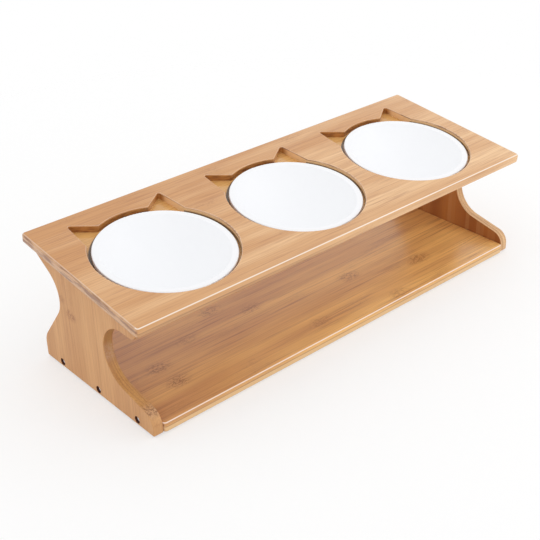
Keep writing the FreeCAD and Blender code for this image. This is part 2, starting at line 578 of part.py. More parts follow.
def make_bowl(label, step):
    """Shallow glazed bowl. Its own origin is the middle of its seat, its Z the board's normal."""
    body = new_body(label)
    profile = new_sketch(body, f"{label}_profile", "XZ_Plane")
    rim_top = value("dims.rim_height")
    floor = rim_top - value("dims.bowl_depth")
    mouth = value(bowl_mouth)
    rim = value(rim_radius)
    middle = (0, value(bowl_curve_height))
    inner = value(bowl_curve)
    outer = value(shell_curve)
    ring_out = value("dims.foot_ring_diameter") / 2
    ring_in = ring_out - value("dims.foot_ring_width")
    ring_low = floor - value("dims.bowl_wall") - value("dims.foot_ring_drop")

    def down_from_middle(radius, across):
        return middle[1] - math.sqrt(radius ** 2 - across ** 2)

    def bearing(radius, across):
        return math.degrees(math.asin(across / radius)) - 90

    shell = value(shell_radius)
    steps = [
        (arc(middle, inner, -90, bearing(inner, mouth)), False, "Coincident"),
        (line((mouth, rim_top), (rim, rim_top)), False, "Coincident"),
        (line((rim, rim_top), (rim, 0)), False, "Coincident"),
        (line((rim, 0), (shell, 0)), False, "Coincident"),
        (arc(middle, outer, bearing(outer, ring_out), bearing(outer, shell)), True, "Coincident"),
        (line((ring_out, down_from_middle(outer, ring_out)), (ring_out, ring_low)), False, "Coincident"),
        (line((ring_out, ring_low), (ring_in, ring_low)), False, "Coincident"),
        (line((ring_in, ring_low), (ring_in, down_from_middle(outer, ring_in))), False, "Coincident"),
        (arc(middle, outer, -90, bearing(outer, ring_in)), True, "Coincident"),
        (line((0, middle[1] - outer), (0, floor)), False, "Coincident"),
    ]
    (inside, rim_face, rim_edge, seat, shell_arc, ring_outside, ring_foot, ring_inside, base,
     axis) = draw_loop(profile, steps)
    profile.addConstraint(Sketcher.Constraint("PointOnObject", inside, 3, -2))
    profile.addConstraint(Sketcher.Constraint("Coincident", inside, 3, shell_arc, 3))
    profile.addConstraint(Sketcher.Constraint("Coincident", inside, 3, base, 3))
    profile.addConstraint(Sketcher.Constraint("PointOnObject", axis, 1, -2))
    profile.addConstraint(Sketcher.Constraint("PointOnObject", axis, 2, -2))
    profile.addConstraint(Sketcher.Constraint("PointOnObject", seat, 1, -1))
    profile.addConstraint(Sketcher.Constraint("PointOnObject", seat, 2, -1))
    for level in (rim_face, ring_foot):
        profile.addConstraint(Sketcher.Constraint("Horizontal", level))
    for upright in (rim_edge, ring_outside, ring_inside):
        profile.addConstraint(Sketcher.Constraint("Vertical", upright))
    drive(profile, "inside_curve", bowl_curve, "Radius", inside)
    drive(profile, "shell_curve", shell_curve, "Radius", shell_arc)
    drive(profile, "base_curve", shell_curve, "Radius", base)
    drive(profile, "curve_height", bowl_curve_height, "DistanceY", -1, 1, inside, 3)
    drive_point(profile, "rim_corner", rim_radius, "dims.rim_height", rim_edge, 1)
    drive(profile, "ring_radius", "dims.foot_ring_diameter / 2", "DistanceX", -1, 1, ring_foot, 1)
    drive(profile, "ring_width", "dims.foot_ring_width", "DistanceX", ring_foot, 2, ring_foot, 1)
    ring_fall = "dims.bowl_depth - dims.rim_height + dims.bowl_wall + dims.foot_ring_drop"
    drive(profile, "ring_fall", ring_fall, "DistanceY", ring_foot, 1, -1, 1)
    turned = body.newObject("PartDesign::Revolution", f"{label}_turned")
    turned.Profile = profile
    turned.ReferenceAxis = (profile, ["V_Axis"])
    doc.recompute()
    soften(body, f"{label}_lip", "dims.rim_round", lambda edge: lies_at(edge, "z", rim_top))
    soften(body, f"{label}_glaze", "dims.glaze_round",
           lambda edge: lies_at(edge, "z", ring_low) or is_rim_foot(edge, rim))
    up_slope = f"({recess_middle} - dims.bowl_slip)"
    back, height = under_board(up_slope, "dims.recess_depth")
    place(body, x=f"{step} * {bowl_pitch}", y=back, z=height, turn="dims.board_tilt")
    return body


def is_rim_foot(edge, rim):
    """True for the rim's lower outer edge."""
    return lies_at(edge, "z", 0) and abs(edge.Curve.Radius - rim) < TOUCH


def make_screw(name, side, step):
    """Pan-head wood screw. Its own origin is the middle of its seat, its Z out of the panel."""
    body = new_body(name)
    profile = new_sketch(body, f"{name}_profile", "XZ_Plane")
    head = value("dims.screw_head") / 2
    top = value("dims.screw_head_height")
    shank = value("dims.screw_shank") / 2
    length = value("dims.screw_length")
    corners = [(0, top), (0, -length), (shank, value("dims.screw_point") - length), (shank, 0), (head, 0),
               (head, top)]
    count = len(corners)
    steps = [(line(corners[k], corners[(k + 1) % count]), False, "Coincident") for k in range(count)]
    axis, point, side_line, seat, head_side, head_top = draw_loop(profile, steps)
    profile.addConstraint(Sketcher.Constraint("PointOnObject", axis, 1, -2))
    profile.addConstraint(Sketcher.Constraint("PointOnObject", axis, 2, -2))
    profile.addConstraint(Sketcher.Constraint("PointOnObject", seat, 1, -1))
    profile.addConstraint(Sketcher.Constraint("PointOnObject", seat, 2, -1))
    profile.addConstraint(Sketcher.Constraint("Vertical", side_line))
    profile.addConstraint(Sketcher.Constraint("Vertical", head_side))
    profile.addConstraint(Sketcher.Constraint("Horizontal", head_top))
    drive(profile, "head", "dims.screw_head / 2", "DistanceX", -1, 1, seat, 2)
    drive(profile, "head_height", "dims.screw_head_height", "DistanceY", -1, 1, axis, 1)
    drive(profile, "shank", "dims.screw_shank / 2", "DistanceX", -1, 1, seat, 1)
    drive(profile, "length", "dims.screw_length", "DistanceY", axis, 2, -1, 1)
    drive(profile, "point", "dims.screw_point", "DistanceY", point, 1, point, 2)
    turned = body.newObject("PartDesign::Revolution", f"{name}_turned")
    turned.Profile = profile
    turned.ReferenceAxis = (profile, ["V_Axis"])
    doc.recompute()
    soften(body, f"{name}_crown", "dims.screw_head_height / 2",
           lambda edge: lies_at(edge, "z", top) and isinstance(edge.Curve, Part.Circle))
    slot = new_sketch(body, f"{name}_slot_outline", "XY_Plane", lift="dims.screw_head_height")
    long_half = value("dims.screw_slot_length") / 2
    wide_half = value("dims.screw_slot_width") / 2
    signs = ((-1, -1), (1, -1), (1, 1), (-1, 1))
    ends = [(a * long_half, b * wide_half) for a, b in signs]
    sides = [(line(ends[k], ends[(k + 1) % 4]), False, "Coincident") for k in range(4)]
    low, right, high, left = draw_loop(slot, sides)
    for level in (low, high):
        slot.addConstraint(Sketcher.Constraint("Horizontal", level))
    for upright in (left, right):
        slot.addConstraint(Sketcher.Constraint("Vertical", upright))
    slot.addConstraint(Sketcher.Constraint("Symmetric", low, 1, high, 1, -1, 1))
    drive(slot, "arm_length", "dims.screw_slot_length", "DistanceX", low, 1, low, 2)
    drive(slot, "arm_width", "dims.screw_slot_width", "DistanceY", right, 1, right, 2)
    arm = cut(body, f"{name}_slot", slot, "dims.screw_slot_depth")
    cross = body.newObject("PartDesign::PolarPattern", f"{name}_cross")
    cross.Originals = [arm]
    cross.Axis = (slot, ["N_Axis"])
    cross.Angle = 90
    cross.Occurrences = 2
    body.Tip = cross
    doc.recompute()
    inset = f"({panel_outer} - {screw_seat})"
    across = inset if side > 0 else f"-{inset}"
    back = f"{panel_front} + {screw_middle} + {step} * dims.screw_pitch"
    height = f"dims.pad_thickness + {screw_height}"
    place(body, x=across, y=back, z=height, axis=Vector(0, 1, 0), turn=str(90 * side))
    return body


def make_dowel(name, side, step):
    """Plain beech dowel across the joint. Its own origin is on the joint, its Z the board's normal."""
    body = new_body(name)
    outline = new_sketch(body, f"{name}_outline", "XY_Plane", lift="-dims.dowel_in_panel")
    circle = outline.addGeometry(
        Part.Circle(Vector(0, 0, 0), Vector(0, 0, 1), value("dims.dowel_diameter") / 2), False)
    outline.addConstraint(Sketcher.Constraint("Coincident", circle, 3, -1, 1))
    drive(outline, "radius", "dims.dowel_diameter / 2", "Radius", circle)
    extrude(body, f"{name}_rod", outline, "dims.dowel_in_panel + dims.dowel_in_board")
    soften(body, f"{name}_ends", "dims.dowel_chamfer",
           lambda edge: isinstance(edge.Curve, Part.Circle), kind="PartDesign::Chamfer", size="Size")
    up_slope = f"(dims.dowel_front + {step} * dims.dowel_pitch)"
    middle = f"({panel_outer} - dims.panel_thickness / 2)"
    across = middle if side > 0 else f"-{middle}"
    back, height = under_board(up_slope, "dims.board_thickness")
    place(body, x=across, y=back, z=height, turn="dims.board_tilt")
    return body


def make_foot_pad(label, side, end):
    """Thin rubber disc glued under a corner of the shelf. end is -1 at the front, 1 at the back."""
    body = new_body(label)
    outline = new_sketch(body, f"{label}_outline", "XY_Plane")
    circle = outline.addGeometry(
        Part.Circle(Vector(0, 0, 0), Vector(0, 0, 1), value("dims.pad_diameter") / 2), False)
    outline.addConstraint(Sketcher.Constraint("Coincident", circle, 3, -1, 1))
    drive(outline, "radius", "dims.pad_diameter / 2", "Radius", circle)
    extrude(body, f"{label}_disc", outline, "dims.pad_thickness")
    soften(body, f"{label}_edge", "dims.pad_round", lambda edge: lies_at(edge, "z", 0))
    across = f"{side} * ({shelf_length} / 2 - dims.pad_inset)"
    middle = f"({shelf_front} + {shelf_depth} / 2)"
    place(body, x=across, y=f"{middle} + {end} * ({shelf_depth} / 2 - dims.pad_inset)")
    return body


def gather(label, bodies):
    """One node for a group of like fasteners, each still a solid of its own."""
    group = doc.addObject("Part::Compound", label)
    group.Label = label
    group.Links = bodies
    return group


SIDES = {"left": -1, "right": 1}
pieces = [make_top_board(), make_shelf()]
for side_name, side in SIDES.items():
    pieces.append(make_end_panel(f"{side_name}_end_panel", side))
    screws = [make_screw(f"{side_name}_screw_{k}", side, k - 1) for k in range(3)]
    pieces.append(gather(f"{side_name}_shelf_screws", screws))
    dowels = [make_dowel(f"{side_name}_dowel_{k}", side, k) for k in range(3)]
    pieces.append(gather(f"{side_name}_top_dowels", dowels))
    for end_name, end in {"front": -1, "back": 1}.items():
        pieces.append(make_foot_pad(f"{end_name}_{side_name}_foot_pad", side, end))
for step, bowl_name in enumerate(("left_bowl", "middle_bowl", "right_bowl"), start=-1):
    pieces.append(make_bowl(bowl_name, step))
doc.recompute()

for thing in doc.Objects:
    if "Invalid" in thing.State or "Error" in thing.State:
        raise RuntimeError(f"{thing.Label} failed: {thing.State}")
for piece in pieces:
    if piece.Shape.isNull() or not piece.Shape.isValid():
        raise RuntimeError(f"{piece.Label} has no sound shape")

os.makedirs("parts", exist_ok=True)
for piece in pieces:
    piece.Shape.exportStep(f"parts/{piece.Label}.step")
    box = piece.Shape.BoundBox
    spans = [(box.XMin, box.XMax), (box.YMin, box.YMax), (box.ZMin, box.ZMax)]
    reach = ", ".join(f"{low:.2f} to {high:.2f}" for low, high in spans)
    print(f"{piece.Label}: {len(piece.Shape.Solids)} solid(s), x, y and z {reach}")
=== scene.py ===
import bpy
import json
import math
from mathutils import Matrix, Vector


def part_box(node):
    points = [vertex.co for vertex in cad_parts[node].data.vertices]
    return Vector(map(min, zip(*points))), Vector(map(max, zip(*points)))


# Looks of a raised feeding stand: bamboo boards round three loose ceramic bowls.
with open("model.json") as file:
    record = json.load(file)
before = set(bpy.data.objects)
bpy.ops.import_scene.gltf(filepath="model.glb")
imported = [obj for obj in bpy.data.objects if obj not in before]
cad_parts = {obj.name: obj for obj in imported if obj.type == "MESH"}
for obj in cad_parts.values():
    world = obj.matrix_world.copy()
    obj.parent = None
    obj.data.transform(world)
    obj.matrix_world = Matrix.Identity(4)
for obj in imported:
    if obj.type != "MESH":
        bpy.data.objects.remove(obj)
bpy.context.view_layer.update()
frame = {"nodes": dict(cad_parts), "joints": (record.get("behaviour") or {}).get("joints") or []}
nodes = frame["nodes"]


# Top board: one glued-up bamboo panel with its strips along the length, routed for the bowls
# and finished in clear satin lacquer. Its rounded arrises carry a painted highlight, a thin pale line.
# It sits tilted on the end panels, held by hidden dowels.
def paint(red, green, blue):
    """A colour read off in 8-bit sRGB, as the linear values that sockets take."""
    linear = []
    for level in (red, green, blue):
        share = level / 255
        linear.append(share / 12.92 if share <= 0.04045 else ((share + 0.055) / 1.055) ** 2.4)
    return (*linear, 1.0)


def feed(tree, socket, value):
    """Links an output to a socket, or sets the socket to a constant."""
    if isinstance(value, bpy.types.NodeSocket):
        tree.links.new(value, socket)
    else:
        socket.default_value = value


def sums(tree, operation, *values):
    """One Math node on sockets or numbers."""
    step = tree.nodes.new("ShaderNodeMath")
    step.operation = operation
    for socket, value in zip(step.inputs, values):
        feed(tree, socket, value)
    return step.outputs[0]


def plus(tree, first, second):
    """The sum of two sockets or numbers."""
    return sums(tree, "ADD", first, second)


def minus(tree, first, second):
    """The first socket or number less the second."""
    return sums(tree, "SUBTRACT", first, second)


def times(tree, first, *others):
    """The product of sockets and numbers."""
    for other in others:
        first = sums(tree, "MULTIPLY", first, other)
    return first


def off_from(tree, value, middle):
    """How far a value is from a middle, either way."""
    return sums(tree, "ABSOLUTE", minus(tree, value, middle))


def reach(tree, first, second):
    """The distance that two distances at right angles make."""
    squares = plus(tree, sums(tree, "POWER", first, 2.0), sums(tree, "POWER", second, 2.0))
    return sums(tree, "SQRT", squares)


def stretch(tree, vector, factors):
    """A vector with each axis scaled."""
    step = tree.nodes.new("ShaderNodeVectorMath")
    step.operation = "MULTIPLY"
    feed(tree, step.inputs[0], vector)
    step.inputs[1].default_value = factors
    return step.outputs[0]


def noise(tree, vector, scale=1.0, detail=3.0, roughness=0.55):
    """Noise from 0 to 1, mostly near the middle."""
    step = tree.nodes.new("ShaderNodeTexNoise")
    feed(tree, step.inputs["Vector"], vector)
    step.inputs["Scale"].default_value = scale
    step.inputs["Detail"].default_value = detail
    step.inputs["Roughness"].default_value = roughness
    return step.outputs[0]


def fade(tree, value, low, high, start=0.0, end=1.0):
    """A smooth step from start to end while the value goes from low to high."""
    step = tree.nodes.new("ShaderNodeMapRange")
    step.interpolation_type = "SMOOTHSTEP"
    feed(tree, step.inputs["Value"], value)
    for name, bound in (("From Min", low), ("From Max", high), ("To Min", start), ("To Max", end)):
        feed(tree, step.inputs[name], bound)
    return step.outputs[0]


def vary(tree, texture, least, most):
    """A value that follows a noise between two bounds."""
    usual_low, usual_high = 0.3, 0.7
    return fade(tree, texture, usual_low, usual_high, start=least, end=most)


def mix(tree, share, under, over):
    """A colour with a share of another laid over it."""
    step = tree.nodes.new("ShaderNodeMix")
    step.data_type = "RGBA"
    # The node has sockets for each kind of data. These are its sockets for colours.
    share_socket, under_socket, over_socket = step.inputs[0], step.inputs[6], step.inputs[7]
    feed(tree, share_socket, share)
    feed(tree, under_socket, under)
    feed(tree, over_socket, over)
    return step.outputs[2]


def new_finish(name):
    """An empty material with its tree, its surface shader and the piece's own coordinates."""
    material = bpy.data.materials.new(name)
    material.use_nodes = True
    tree = material.node_tree
    shader = tree.nodes["Principled BSDF"]
    place = tree.nodes.new("ShaderNodeTexCoord")
    return material, tree, shader, place


def bump(tree, shader, height, strength, distance):
    """Gives the shader a bump from a height."""
    step = tree.nodes.new("ShaderNodeBump")
    step.inputs["Strength"].default_value = strength
    step.inputs["Distance"].default_value = distance
    feed(tree, step.inputs["Height"], height)
    feed(tree, shader.inputs["Normal"], step.outputs["Normal"])


def facing(tree, place, line, both=True):
    """How squarely a surface faces along a line: from 0 to 1 either way, or from -1 to 1 one way."""
    step = tree.nodes.new("ShaderNodeVectorMath")
    step.operation = "DOT_PRODUCT"
    feed(tree, step.inputs[0], place.outputs["Normal"])
    step.inputs[1].default_value = line
    return sums(tree, "ABSOLUTE", step.outputs["Value"]) if both else step.outputs["Value"]


class BambooBoard:
    """A bamboo finish while its layers are laid on. turn brings the grain to X, the board's width to Y
    and its thickness to Z, and along, across and depth are the places on those axes. seed moves the
    figure along the grain. tones are the pale one, the deep one and that of the streaks."""

    def __init__(self, name, turn, seed, tones):
        self.material, self.tree, self.shader, self.place = new_finish(name)
        self.pale, self.deep, self.streak = tones
        self.seed = seed
        self.grain_line = Matrix.Rotation(-turn[1], 3, "Y") @ Vector((1, 0, 0))
        self.face_line = Matrix.Rotation(-turn[0], 3, "X") @ Vector((0, 0, 1))
        turned = self.tree.nodes.new("ShaderNodeMapping")
        turned.inputs["Rotation"].default_value = turn
        turned.inputs["Location"].default_value = (seed, 0, 0)
        feed(self.tree, turned.inputs["Vector"], self.place.outputs["Object"])
        self.grain = turned.outputs[0]
        axes = self.tree.nodes.new("ShaderNodeSeparateXYZ")
        feed(self.tree, axes.inputs[0], self.grain)
        seeded_along, self.across, self.depth = axes.outputs
        self.along = minus(self.tree, seeded_along, seed)


def stain(board, share, colour):
    """Lays a share of a colour over what the board has so far."""
    board.colour = mix(board.tree, share, board.colour, colour)


def figure(board, scale, detail=2.0, roughness=0.55):
    """Noise in the wood. Its scale is in waves per metre along the grain, across it and through it."""
    grain = stretch(board.tree, board.grain, scale)
    return noise(board.tree, grain, detail=detail, roughness=roughness)


def lay_tone(board, along=0.0, back=0.0):
    """Slow drifts of tone, and painted shade that deepens the tone by so much per metre along the grain
    and to the back.
    """
    drift_scale = (4, 34, 34)
    drift_low, drift_high = 0.15, 0.85
    tree = board.tree
    drift = vary(tree, figure(board, drift_scale), drift_low, drift_high)
    shade_slope = plus(tree, times(tree, board.along, along), times(tree, board.across, back))
    board.tone = plus(tree, shade_slope, drift)
    board.colour = mix(tree, board.tone, board.pale, board.deep)


def lay_strips(board, width):
    """Narrow strips, each of its own tone, with a thin glue line between them."""
    strip_span, strip_share = (0.3, 1.0), 0.38
    glue_span, glue_share = (0.44, 0.5), 0.22
    salt = board.seed * 31.7
    tree = board.tree
    lane = sums(tree, "DIVIDE", board.across, width)
    dice = tree.nodes.new("ShaderNodeTexWhiteNoise")
    dice.noise_dimensions = "1D"
    feed(tree, dice.inputs["W"], plus(tree, sums(tree, "FLOOR", lane), salt))
    stain(board, fade(tree, dice.outputs["Value"], *strip_span, end=strip_share), board.deep)
    from_middle = off_from(tree, sums(tree, "FRACT", lane), 0.5)
    stain(board, fade(tree, from_middle, *glue_span, end=glue_share), board.streak)


def draw_fibres(board, scale, share):
    """Hairlines all over, and short reddish streaks of a given scale that come in patches."""
    hair_scale, hair_span, hair_share = (16, 1400, 1400), (0.4, 0.75), 0.3
    streak_span = (0.47, 0.7)
    patch_scale, patch_span, patch_least = (8, 60, 60), (0.36, 0.64), 0.4
    tree = board.tree
    board.hair = figure(board, hair_scale, roughness=0.6)
    stain(board, fade(tree, board.hair, *hair_span, end=hair_share), board.streak)
    streaks = fade(tree, figure(board, scale, detail=4.0, roughness=0.7), *streak_span)
    patches = fade(tree, figure(board, patch_scale), *patch_span, start=patch_least)
    stain(board, times(tree, streaks, patches, share), board.streak)


def press_knuckles(board, share, spots=(), flatness=1.0):
    """Scribbled ovals where the cane had a joint. They are scattered, some of them faint. Where spots
    are given, the scattered ones fade and the plain ones are there: each has its place along the grain
    and across it, and how strong it is. flatness is how much shorter they are along the grain."""
    knuckle_brown = paint(142, 82, 46)
    cells_per_metre = (9, 26, 0)
    cell_heart, cell_rim = 0.02, 0.22
    faint_span, faint_least = (0.25, 0.75), 0.15
    scatter_share = 0.25
    spot_heart, spot_rim = 0.002, 0.012
    sway_scale, cell_sway, spot_sway = (60, 150, 150), 0.3, 0.03
    scribble_scale, line_width, between_lines = (150, 330, 330), 0.08, 0.2
    tree = board.tree

    # Scattered ones, in the middle of uneven cells.
    sway = times(tree, minus(tree, figure(board, sway_scale), 0.5), cell_sway)
    loose = tree.nodes.new("ShaderNodeVectorMath")
    loose.operation = "MULTIPLY_ADD"
    feed(tree, loose.inputs[0], board.grain)
    loose.inputs[1].default_value = cells_per_metre
    feed(tree, loose.inputs[2], sway)
    cells = tree.nodes.new("ShaderNodeTexVoronoi")
    cells.voronoi_dimensions = "2D"
    cells.inputs["Scale"].default_value = 1.0
    feed(tree, cells.inputs["Vector"], loose.outputs[0])
    dice = tree.nodes.new("ShaderNodeSeparateColor")
    feed(tree, dice.inputs[0], cells.outputs["Color"])
    zone = fade(tree, cells.outputs["Distance"], cell_heart, cell_rim, start=1.0, end=0.0)
    zone = times(tree, zone, fade(tree, dice.outputs[0], *faint_span, start=faint_least))

    # Plain ones, at their spots.
    if spots:
        zone = times(tree, zone, scatter_share)
    for spot_along, spot_across, spot_share in spots:
        aside = times(tree, minus(tree, board.along, spot_along), flatness)
        aside = plus(tree, aside, times(tree, sway, spot_sway))
        above = minus(tree, board.across, spot_across)
        spot = fade(tree, reach(tree, aside, above), spot_heart, spot_rim, start=spot_share, end=0.0)
        zone = sums(tree, "MAXIMUM", zone, spot)

    # Scribbled lines inside them.
    scribble = off_from(tree, figure(board, scribble_scale, detail=3.0), 0.5)
    lines = fade(tree, scribble, 0.0, line_width, start=share, end=between_lines * share)
    board.mark = times(tree, zone, lines)
    stain(board, board.mark, knuckle_brown)


def show_plies(board, level, under, full_to, gone_from):
    """The wood under the glue line in the thickness, and the line itself where it shows. Both are at
    full strength up to one place along the board and gone from another."""
    glue_brown = paint(126, 82, 56)
    glue_half, glue_edge, glue_share = 0.0002, 0.0007, 0.4
    patch_scale, patch_span = (5, 5, 60), (0.4, 0.6)
    patch_least, patch_most = 0.4, 0.9
    tree = board.tree
    extent = fade(tree, board.along, full_to, gone_from, start=1.0, end=0.0)
    below = fade(tree, board.depth, level - glue_half, level + glue_half, start=1.0, end=0.0)
    patches = fade(tree, figure(board, patch_scale), *patch_span, start=patch_least, end=patch_most)
    stain(board, times(tree, below, patches, extent), under)
    from_glue = off_from(tree, board.depth, level)
    glue = fade(tree, from_glue, glue_half, glue_edge, start=glue_share, end=0.0)
    stain(board, times(tree, glue, extent), glue_brown)


def open_end_grain(board, scale):
    """Darker mottled wood with fine pores, where the surface cuts across the fibres."""
    end_pale, end_deep, pore_brown = paint(212, 168, 128), paint(136, 92, 66), paint(120, 76, 48)
    end_span, end_share = (0.5, 0.92), 0.8
    mottle_span = (0.42, 0.6)
    pore_scale, pore_span, pore_share = (300, 900, 900), (0.5, 0.75), 0.45
    tree = board.tree
    ends = fade(tree, facing(tree, board.place, board.grain_line), *end_span, end=end_share)
    mottle = fade(tree, figure(board, scale, detail=3.0), *mottle_span)
    pores = fade(tree, figure(board, pore_scale), *pore_span, end=pore_share)
    wood = mix(tree, mottle, end_pale, end_deep)
    stain(board, ends, mix(tree, pores, wood, pore_brown))


# The span of facing in which one kind of surface gives way to another.
facing_span = (0.3, 0.8)


def rout_recesses(board, low, high):
    """Golden ledges and brown walls inside a box on the board's axes. The walls' brown is partly the
    wood cut across its fibres and partly painted shade in the recesses.
    """
    wall_pale, wall_deep = paint(186, 124, 64), paint(136, 82, 40)
    ledge_pale, ledge_deep = paint(230, 178, 108), paint(204, 150, 86)
    wall_mottle_scale = (90, 90, 500)
    routed_span = (0.35, 0.7)
    tree = board.tree
    board.routed = 1.0
    for level, least, most in zip((board.along, board.across, board.depth), low, high):
        above = sums(tree, "GREATER_THAN", level, least)
        below = sums(tree, "LESS_THAN", level, most)
        board.routed = times(tree, board.routed, above, below)
    # Walls are brown: partly cut-across wood, partly painted shade of the recess.
    flat = facing(tree, board.place, board.face_line)
    board.wall = fade(tree, flat, *facing_span, start=1.0, end=0.0)
    wall_mottle = fade(tree, figure(board, wall_mottle_scale, detail=3.0), *routed_span)
    wall_wood = mix(tree, wall_mottle, wall_pale, wall_deep)
    ledge_wood = mix(tree, fade(tree, board.hair, *routed_span), ledge_pale, ledge_deep)
    stain(board, board.routed, mix(tree, board.wall, ledge_wood, wall_wood))


def paint_gap_shadows(board, pitch, middle, radius, wall_foot):
    """The narrow gap round each bowl. Its right wall gets the board's pale tone. Painted shadow lies
    dark at the foot of that wall and in a ring on the ledge, except at the recess's front."""
    gap_shadow_brown = paint(58, 36, 24)
    ring_share, ring_left_share = 0.97, 0.95
    ring_inside, ring_full, ring_outside = radius - 0.0026, radius - 0.0018, radius + 0.0012
    ring_front = (-0.046, -0.022)
    ring_right = (-0.02, 0.04)
    pale_wall_side, pale_wall_share = (0.02, 0.055), 0.95
    pale_wall_back = (0.066, 0.076)
    foot_edge, foot_share = wall_foot + 0.0012, 0.75
    foot_outside = radius + 0.0025
    tree = board.tree
    aside = sums(tree, "WRAP", board.along, pitch / 2, -pitch / 2)
    up_slope = minus(tree, board.across, middle)
    out = reach(tree, aside, up_slope)

    ring = fade(tree, out, radius, ring_outside, start=ring_share, end=0.0)
    ring = times(tree, ring, fade(tree, out, ring_inside, ring_full))
    ring = times(tree, ring, fade(tree, up_slope, *ring_front))
    ring = times(tree, ring, fade(tree, aside, *ring_right, start=ring_left_share))

    # The right-hand wall of each gap gets the board's pale tone in place of the brown wall tone.
    pale_right_wall = times(tree, board.wall, fade(tree, aside, *pale_wall_side, end=pale_wall_share))
    pale_right_wall = times(tree, pale_right_wall, fade(tree, up_slope, *pale_wall_back, start=1.0, end=0.0))
    stain(board, times(tree, board.routed, pale_right_wall), board.pale)

    # Painted shadow: dark at the foot of the right wall and in a ring on the ledge round each bowl.
    foot = times(tree, pale_right_wall, fade(tree, board.depth, wall_foot, foot_edge, start=foot_share, end=0.0))
    foot = times(tree, foot, sums(tree, "LESS_THAN", out, foot_outside))
    foot = times(tree, foot, sums(tree, "GREATER_THAN", out, radius))
    dark = sums(tree, "MAXIMUM", ring, foot)
    stain(board, times(tree, board.routed, dark), gap_shadow_brown)


def paint_arris_highlights(board, arris_highlight, steep, front):
    """A painted highlight: a pale line along the upper rounded edges. steep is how far they face up
    where it begins, and front the place across the board up to which it is strong."""
    line_edge = 0.15
    flat_span = (0.86, 0.96)
    front_edge = 0.002
    front_share, other_share = 0.9, 0.3
    tree = board.tree
    upward = facing(tree, board.place, board.face_line, both=False)
    line = fade(tree, upward, steep, steep + line_edge)
    line = times(tree, line, fade(tree, upward, *flat_span, start=1.0, end=0.0))
    strength = fade(tree, board.across, front, front + front_edge, start=front_share, end=other_share)
    stain(board, times(tree, line, strength), arris_highlight)


def lacquer(board, weight, roughness):
    """Clear lacquer over the layers, through which hairlines and knuckles can be felt."""
    knuckle_relief = 0.6
    tree, shader = board.tree, board.shader
    feed(tree, shader.inputs["Base Color"], board.colour)
    feed(tree, shader.inputs["Roughness"], vary(tree, board.hair, 0.42, 0.55))
    shader.inputs["Specular IOR Level"].default_value = 0.2
    shader.inputs["Coat Weight"].default_value = weight
    shader.inputs["Coat Roughness"].default_value = roughness
    relief = plus(tree, board.hair, times(tree, board.mark, knuckle_relief))
    bump(tree, shader, relief, strength=0.1, distance=0.0004)
    return board.material


def dress(material, *names):
    """Puts one material on CAD nodes, in every slot they have."""
    for name in names:
        for slot in nodes[name].material_slots:
            slot.material = material


# The bowls lift square to the board, so their axis gives its tilt.
lift_axis = frame["joints"][0]["axis"]
board_tilt = math.atan2(-lift_axis[1], lift_axis[2])
rim_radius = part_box("middle_bowl")[1].x
bowl_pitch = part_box("right_bowl")[1].x - rim_radius
gap_radius = rim_radius + 0.0015
# On the board's own axes: along it, across it and through it.
recess_low, recess_high = (-0.24, -0.066, 0.0), (0.24, 0.095, 0.1205)
recess_middle = 0.00876
recess_wall_foot = 0.1177
bamboo_streak = paint(160, 98, 62)
top_tones = (paint(243, 199, 147), paint(206, 147, 87), bamboo_streak)
board_end_scale = (120, 36, 300)

top = BambooBoard("bamboo_top", turn=(-board_tilt, 0, 0), seed=0.37, tones=top_tones)
# Painted shade: the top deepens towards its left end and its back.
lay_tone(top, along=-1.0, back=3.0)
lay_strips(top, width=0.0072)
draw_fibres(top, scale=(15, 460, 460), share=0.5)
press_knuckles(top, share=0.32)
show_plies(top, level=0.1165, under=paint(158, 108, 68), full_to=-0.14, gone_from=0.02)
open_end_grain(top, board_end_scale)
rout_recesses(top, recess_low, recess_high)
paint_gap_shadows(top, bowl_pitch, recess_middle, gap_radius, recess_wall_foot)
# Painted highlight: a pale line on the top board's upper arrises, strong at the front.
paint_arris_highlights(top, arris_highlight=paint(252, 236, 220), steep=0.58, front=-0.07)
dress(lacquer(top, weight=0.8, roughness=0.12), "top_board")


# End panels: bamboo board cut to a waisted outline, with the strips upright. Sanded round
# along both faces and lacquered. Three screws go through each into the shelf.
def paint_inner_face_shade(board, way, pale, deep):
    """Gives the face that looks one way darker tones, as painted shade."""
    tree = board.tree
    turned_in = fade(tree, facing(tree, board.place, way, both=False), *facing_span)
    stain(board, turned_in, mix(tree, board.tone, pale, deep))


